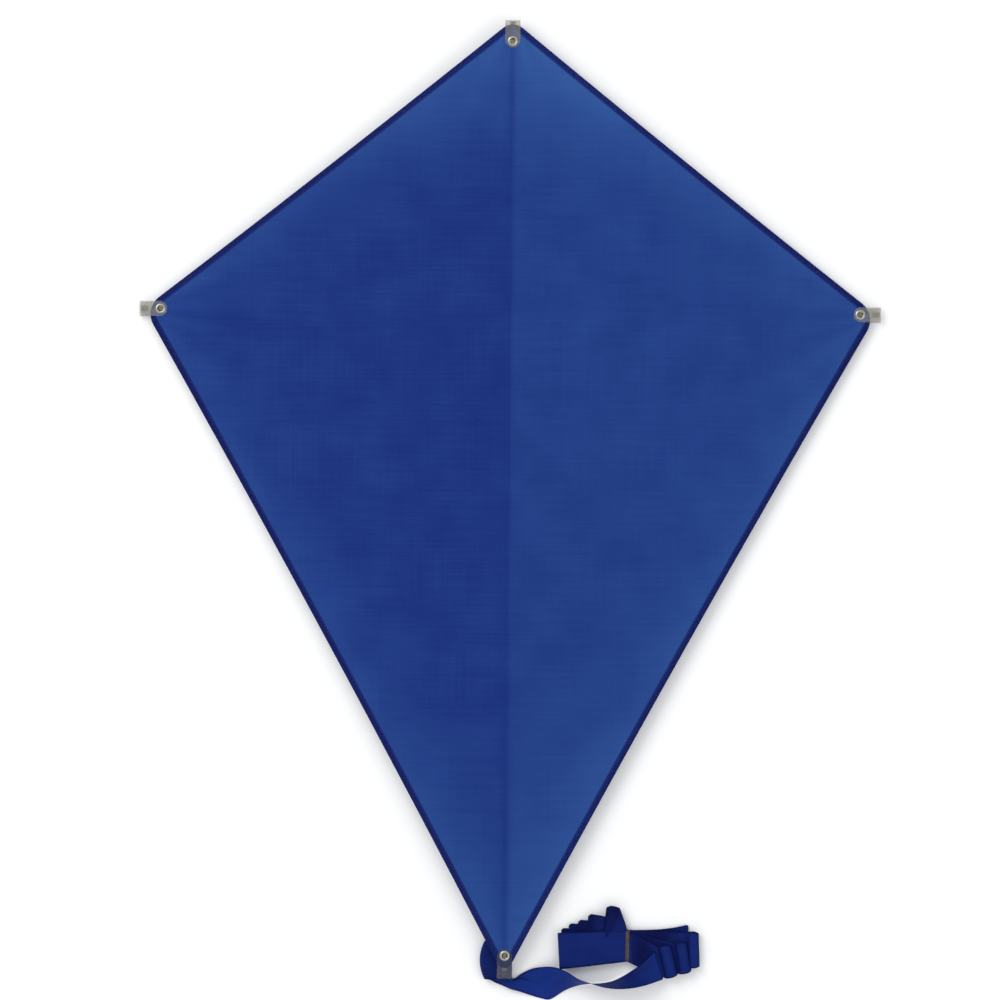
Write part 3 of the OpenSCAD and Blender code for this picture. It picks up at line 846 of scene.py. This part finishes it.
# Folds of the bundle from the top down, left and right of the band by turns. For each: the middle
# of its loop, its lean in degrees, half width, height, the loop's radius along and up at its upper
# end, the degrees that its turn begins at, its lower end's share of both radii, how late its edges'
# y follow on the way from the band, and its painted light and shade
FOLDS = [
    ((52.8, 3.7), -3.6, 17.5, 8.3, 0.8, 0.75, 90, 1, 1.0, 0.5),
    ((157.4, -5.0), -14, 15.8, 8.0, 6.0, 4.9, 174, 1, 1.0, 0.55),
    ((100.4, 29.9), 15, 17.6, 7.4, 6.8, 3.8, 146, 0.25, 0.9, 0.1),
    ((171.8, -1.6), -10, 15.2, 6.9, 5.8, 4.8, 166, 1, 1.0, 0.55),
    ((81.2, 22.2), 9, 17, 5.6, 3.2, 1.5, 120, 0.3, 0.3, 0.08),
    ((181.8, 5.6), -2, 17.2, 5.3, 5.4, 4.6, 156, 1, 1.4, 0.6),
    ((72.4, 16.4), 5, 17, 4.2, 3.0, 1.2, 120, 0.3, 0.3, 0.08),
    ((174.4, 12.0), 3, 17, 1.8, 1.6, 1.0, 100, 0.6, 3.2, 0.5),
    ((63.8, 12.6), 3, 17, 2.9, 2.8, 1.0, 120, 0.3, 0.35, 0.1),
    ((144.0, 5.0), 0, 16.5, 1.0, 0.5, 0.4, 90, 1, 1.0, 0.2),
    ((57.2, 7.8), -1, 17, 1.5, 2.4, 0.8, 120, 0.4, 0.45, 0.14),
]
FREE_END = (134, -10, 0.6, 134, 22, 0.6)
# Shares of the way from the band to a loop that have rows
PASS_SHARES = (0, 0.08, 0.18, 0.3, 0.42, 0.54, 0.66, 0.78, 0.9)
# How far the top folds stand up on the way, and how many of them do
PUFF, PUFFED = 0.9, 2
# The radius up to which a loop's corners are rounded more, and how much painted shade darkens the
# right-hand folds halfway to the band
ROUNDED, HOLLOW_PAINTED_SHADE = 4, 0.25
# The rounding's share of that radius, for a loop that is smaller at its lower end and for others
CONE_ROUNDING, LOOP_ROUNDING = 0.8, 0.4
# Steps round a loop: these, and one for each 10 degrees that its turn begins at
LOOP_STEPS = 8
# Columns of the ribbon, its thickness, and the height and size of its unevenness
ACROSS, RIBBON_T = 17, 0.3
WAVER_H, WAVER_SIZE, WAVER_ROWS = 0.25, 13, 40


def fold_root():
    """Rows of the pinned end: under the tail tab to the left, and back beneath itself."""
    rows = []
    for x in ROOT_LEVEL_X:
        bow = ROOT_BOW * ease((BOW_X - x) / BOW_GROWS)
        rows.append([x, ROOT_UPPER, ROOT_Z, x, ROOT_LOWER, ROOT_Z, 0, 0, bow, ROOT_PAINTED_LIGHT])
    for k in range(ROOT_STEPS + 1):
        a = math.radians(90 + 180 * k / ROOT_STEPS)
        out, up = ROOT_R * math.cos(a), ROOT_Z - ROOT_R + ROOT_R * math.sin(a)
        upper = [ROOT_TURN_X[0] + out, ROOT_UPPER, up]
        lower = [ROOT_TURN_X[1] + out, ROOT_LOWER - ROOT_DRIFT * k / ROOT_STEPS, up]
        rows.append([*upper, *lower, 0, 0, ROOT_BOW, ROOT_PAINTED_LIGHT + PAINTED_LIGHT_STEP * k])
    return rows


def from_camera(seen):
    """The place of a point of that height, if the camera sees it there on the plane at VIEW_Z."""
    centre = np.array([CAMERA_AT[0], CAMERA_AT[1] - TAIL_EYELET_Y])
    nearness = 1 - (seen[2] - VIEW_Z) / CAMERA_ABOVE
    return [*(centre + (np.array(seen[:2]) - centre) * nearness), seen[2]]


def smooth_run(rows, steps):
    """Catmull-Rom rows through rows that are about evenly spaced."""
    padded = np.vstack([2 * rows[0] - rows[1], rows, 2 * rows[-1] - rows[-2]])
    result = []
    for i in range(1, len(padded) - 2):
        p0, p1, p2, p3 = padded[i - 1 : i + 3]
        for k in range(steps):
            t = k / steps
            square, cube = 2 * p0 - 5 * p1 + 4 * p2 - p3, 3 * p1 - p0 - 3 * p2 + p3
            result.append(0.5 * (2 * p1 + (p2 - p0) * t + square * t * t + cube * t ** 3))
    return result + [rows[-1]]


def row_between(first, last, share, puff=0.0, late=1.0):
    """A row part of the way between two, at an eased height, whose edges' y can follow late."""
    row = first * (1 - share) + last * share
    rise, widens = float(ease(share)), share ** late
    for k in HEIGHTS:
        row[k] = first[k] * (1 - rise) + last[k] * rise + puff * math.sin(math.pi * share)
        row[k - 1] = first[k - 1] * (1 - widens) + last[k - 1] * widens
    return row


def band_row(height, light=BAND_PAINTED_LIGHT):
    return np.array([BAND_X, BAND_LOW, height, BAND_X, BAND_HIGH, height, 0, 0, 0, light], float)


def fold_rows(fold, above, below, puff):
    """Rows of one fold: out from the band, round its end and back to the band."""
    middle, lean, half, height, along, up, begins, share, late, light = fold
    lean = math.radians(lean)
    across = np.array([math.sin(lean), math.cos(lean)])
    heading = np.array([math.cos(lean), -math.sin(lean)]) * (1 if middle[0] > BAND_X else -1)
    turn = []
    steps = LOOP_STEPS + begins // 10
    for k in range(steps + 1):
        a = math.radians(begins) * (1 - 2 * k / steps)
        c, s = math.cos(a), math.sin(a)
        rounded = min(along, ROUNDED) * max(c, 0) ** 2 * (CONE_ROUNDING if share < 1 else LOOP_ROUNDING)
        low = np.array(middle) + heading * along * share * c
        low -= across * (half - (rounded if share == 1 else 0))
        high = np.array(middle) + heading * along * c + across * (half - rounded)
        # Painted shade: a loop that turns far round gets darker towards its underside
        shade = light * max(s, 0) if begins > 90 else light
        turn.append(np.array([*low, height + up * share * s, *high, height + up * s, 0, 0, 0, shade]))
    base = LEFT_PAINTED_LIGHT if middle[0] < BAND_X else RIGHT_PAINTED_LIGHT
    out = [row_between(band_row(above, base), turn[0], s, puff, late) for s in PASS_SHARES]
    back = [row_between(band_row(below, base), turn[-1], s, puff, late) for s in PASS_SHARES]
    # Painted light and shade on the way out from the band, with painted shade in the hollow of the
    # right-hand folds
    for s, row in zip(PASS_SHARES, out):
        row[PAINTED_LIGHT] = light if begins == 90 else base + (light - base) * s ** 3
        if middle[0] > BAND_X:
            row[PAINTED_LIGHT] -= HOLLOW_PAINTED_SHADE * math.sin(math.pi * s)
    return out + turn + back[::-1]


def ribbon_rows():
    """Every row of the ribbon, from its pinned end to its free end."""
    lead = [[*high, *low, *rest] for high, low, *rest in LEAD]
    lead += [[*from_camera(a), *from_camera(b), 0, 0, 0, light] for a, b, light in TWIST]
    rows = fold_root() + smooth_run(np.array(lead, float), LEAD_STEPS)
    rows += [np.array([*a, *b, 0, 0, 0, light]) for a, b, light in LEAD_END]
    rows += [row_between(rows[-1], band_row(BAND_TOP), share) for share in LEAD_SHARES]
    for k, fold in enumerate(FOLDS):
        above, below = BAND_TOP - k * BAND_STEP, BAND_TOP - (k + 1) * BAND_STEP
        rows += fold_rows(fold, above, below, PUFF if k < PUFFED else 0)[:-1]
    bottom = band_row(BAND_TOP - len(FOLDS) * BAND_STEP)
    end = np.array([*FREE_END, 0, 0, 0, RIGHT_PAINTED_LIGHT])
    rows += [row_between(bottom, end, share) for share in (0, 0.5, 1)]
    return np.array([list(row) for row in rows], float)


def pleat(share_across):
    """Where a point of the ribbon lies across a flat three-layer pleat, and its layer's height."""
    third = share_across * 3
    if third < 1:
        return third, 0.0
    if third < 2:
        return 2 - third, ease(third - 0.8) * 0.5
    return third - 2, 0.5 + ease(third - 1.8) * 0.5


def ribbon_grid(rows):
    """Points of the ribbon, row by row, with its pleats, its bow and a little unevenness."""
    centre = (rows[:, :3] + rows[:, 3:6]) / 2
    ahead = np.gradient(centre, axis=0)
    shares = np.linspace(0, 1, ACROSS)
    folded = [pleat(s) for s in shares]
    grid = np.zeros((len(rows), ACROSS, 3))
    for i, row in enumerate(rows):
        edge_a, edge_b, pleated = row[:3], row[3:6], row[PLEATED]
        up = np.cross(edge_b - edge_a, ahead[i])
        up /= max(np.linalg.norm(up), 1e-9)
        for j, (s, (over, layer)) in enumerate(zip(shares, folded)):
            u = s * (1 - pleated) + over * pleated
            grid[i, j] = edge_a + (edge_b - edge_a) * u + up * row[LIFT] * layer * pleated
            grid[i, j, 0] -= row[BOW] * (1 - (2 * s - 1) ** 2)
            place = Vector((*grid[i, j, :2] / WAVER_SIZE, i / WAVER_ROWS))
            grid[i, j, 2] += WAVER_H * noise.noise(place)
    return grid


def make_ribbon(material):
    rows = ribbon_rows()
    grid = ribbon_grid(rows)
    grid[:, :, 1] += TAIL_EYELET_Y
    points, faces = shell(grid, RIBBON_T)
    piece = make_mesh("tail_ribbon", points, faces, material)
    middle = grid[:, ACROSS // 2]
    run = np.concatenate([[0], np.cumsum(np.linalg.norm(np.diff(middle, axis=0), axis=1))])
    across = np.linspace(0, RIBBON_W, ACROSS)
    flat = np.zeros((*grid.shape[:2], 3))
    flat[:, :, 0] = across[None, :]
    flat[:, :, 1] = run[:, None]
    flat[:, :, 2] = np.minimum(across, RIBBON_W - across)[None, :]
    store(piece, "flat", np.concatenate([flat.reshape(-1, 3)] * 2))
    # Each row's painted light and shade, kept for the material
    light = np.repeat(rows[:, PAINTED_LIGHT], ACROSS)
    store(piece, "painted_light", np.concatenate([light, light]), "FLOAT")
    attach(piece, "tail")
    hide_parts("tail_root", "tail_lead", "tail_bundle")


# The rubber band: its strand's radius, its turns, how far they stray along X, and how square
# they are round the bundle, where 1 would be an ellipse
STRAND_R, STRAND_SIDES = 0.6, 10
BAND_TURNS, BAND_STEPS = 3, 330
BAND_STRAY, BAND_SQUARE = 1.35, 0.35


def band_path():
    """The rubber band's line: turns round the bundle that stray to one side and back."""
    low, high = cad_box_of("tail_band")
    half_y, half_z = (high[1] - low[1]) / 2 - STRAND_R, (high[2] - low[2]) / 2 - STRAND_R
    middle = (low + high) / 2
    points = []
    for k in range(BAND_STEPS):
        a = 2 * math.pi * BAND_TURNS * k / BAND_STEPS
        c, s = math.cos(a), math.sin(a)
        y = half_y * math.copysign(abs(c) ** BAND_SQUARE, c)
        z = half_z * math.copysign(abs(s) ** BAND_SQUARE, s)
        x = BAND_STRAY * math.cos(a / BAND_TURNS)
        points.append(middle + np.array([x, y, z]))
    return np.array(points)


def tube(path, radius, sides):
    """Rings round a closed path that never runs along X."""
    ahead = np.roll(path, -1, axis=0) - np.roll(path, 1, axis=0)
    ahead /= np.linalg.norm(ahead, axis=1, keepdims=True)
    sideways = np.array([1.0, 0, 0]) - ahead * ahead[:, :1]
    sideways /= np.linalg.norm(sideways, axis=1, keepdims=True)
    upright = np.cross(ahead, sideways)
    angles = [2 * math.pi * k / sides for k in range(sides)]
    return np.stack(
        [path + radius * (math.cos(a) * sideways + math.sin(a) * upright) for a in angles], axis=1
    )


def make_band(material):
    points, faces = rings(tube(band_path(), STRAND_R, STRAND_SIDES))
    piece = make_mesh("tail_band_strand", points, faces, material)
    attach(piece, "tail")
    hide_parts("tail_band")


# ---------------------------------------------------------------- carried-over CAD nodes
def dress(materials):
    """Gives each CAD node that stays its material."""
    wanted = {
        "vinyl": ["nose_tab", "left_tab", "right_tab"],
        # The tail tab gets the copy of the vinyl with painted shade
        "vinyl_painted_shade": ["tail_tab"],
        "nickel": [
            "nose_washer", "tail_washer", "left_washer", "right_washer", "tail_rivet", "swivel_pin",
        ],
        "fibreglass": ["spine_rod", "spar_rod"],
        "cap": ["nose_cap", "tail_cap", "left_cap", "right_cap"],
        "plastic": ["spine_clip", "spar_clip"],
    }
    for key, names in wanted.items():
        for name in names:
            piece = frame["nodes"][name]
            if not piece.material_slots:
                piece.data.materials.append(materials[key])
            for slot in piece.material_slots:
                slot.material = materials[key]


def make_floor(material):
    half = FLOOR_HALF
    corners = [(-half, -half, 0), (half, -half, 0), (half, half, 0), (-half, half, 0)]
    floor = make_mesh("floor", corners, [[0, 1, 2, 3]], material)
    floor.location.z = -FLOOR_DROP * MM


make_camera()
make_studio()
materials = make_materials()
make_floor(materials["floor"])
make_sail(materials)
for name, body, tilt in EYELETS:
    make_eyelet(name, body, tilt, materials["nickel"])
make_ribbon(materials["ribbon"])
make_band(materials["rubber"])
dress(materials)
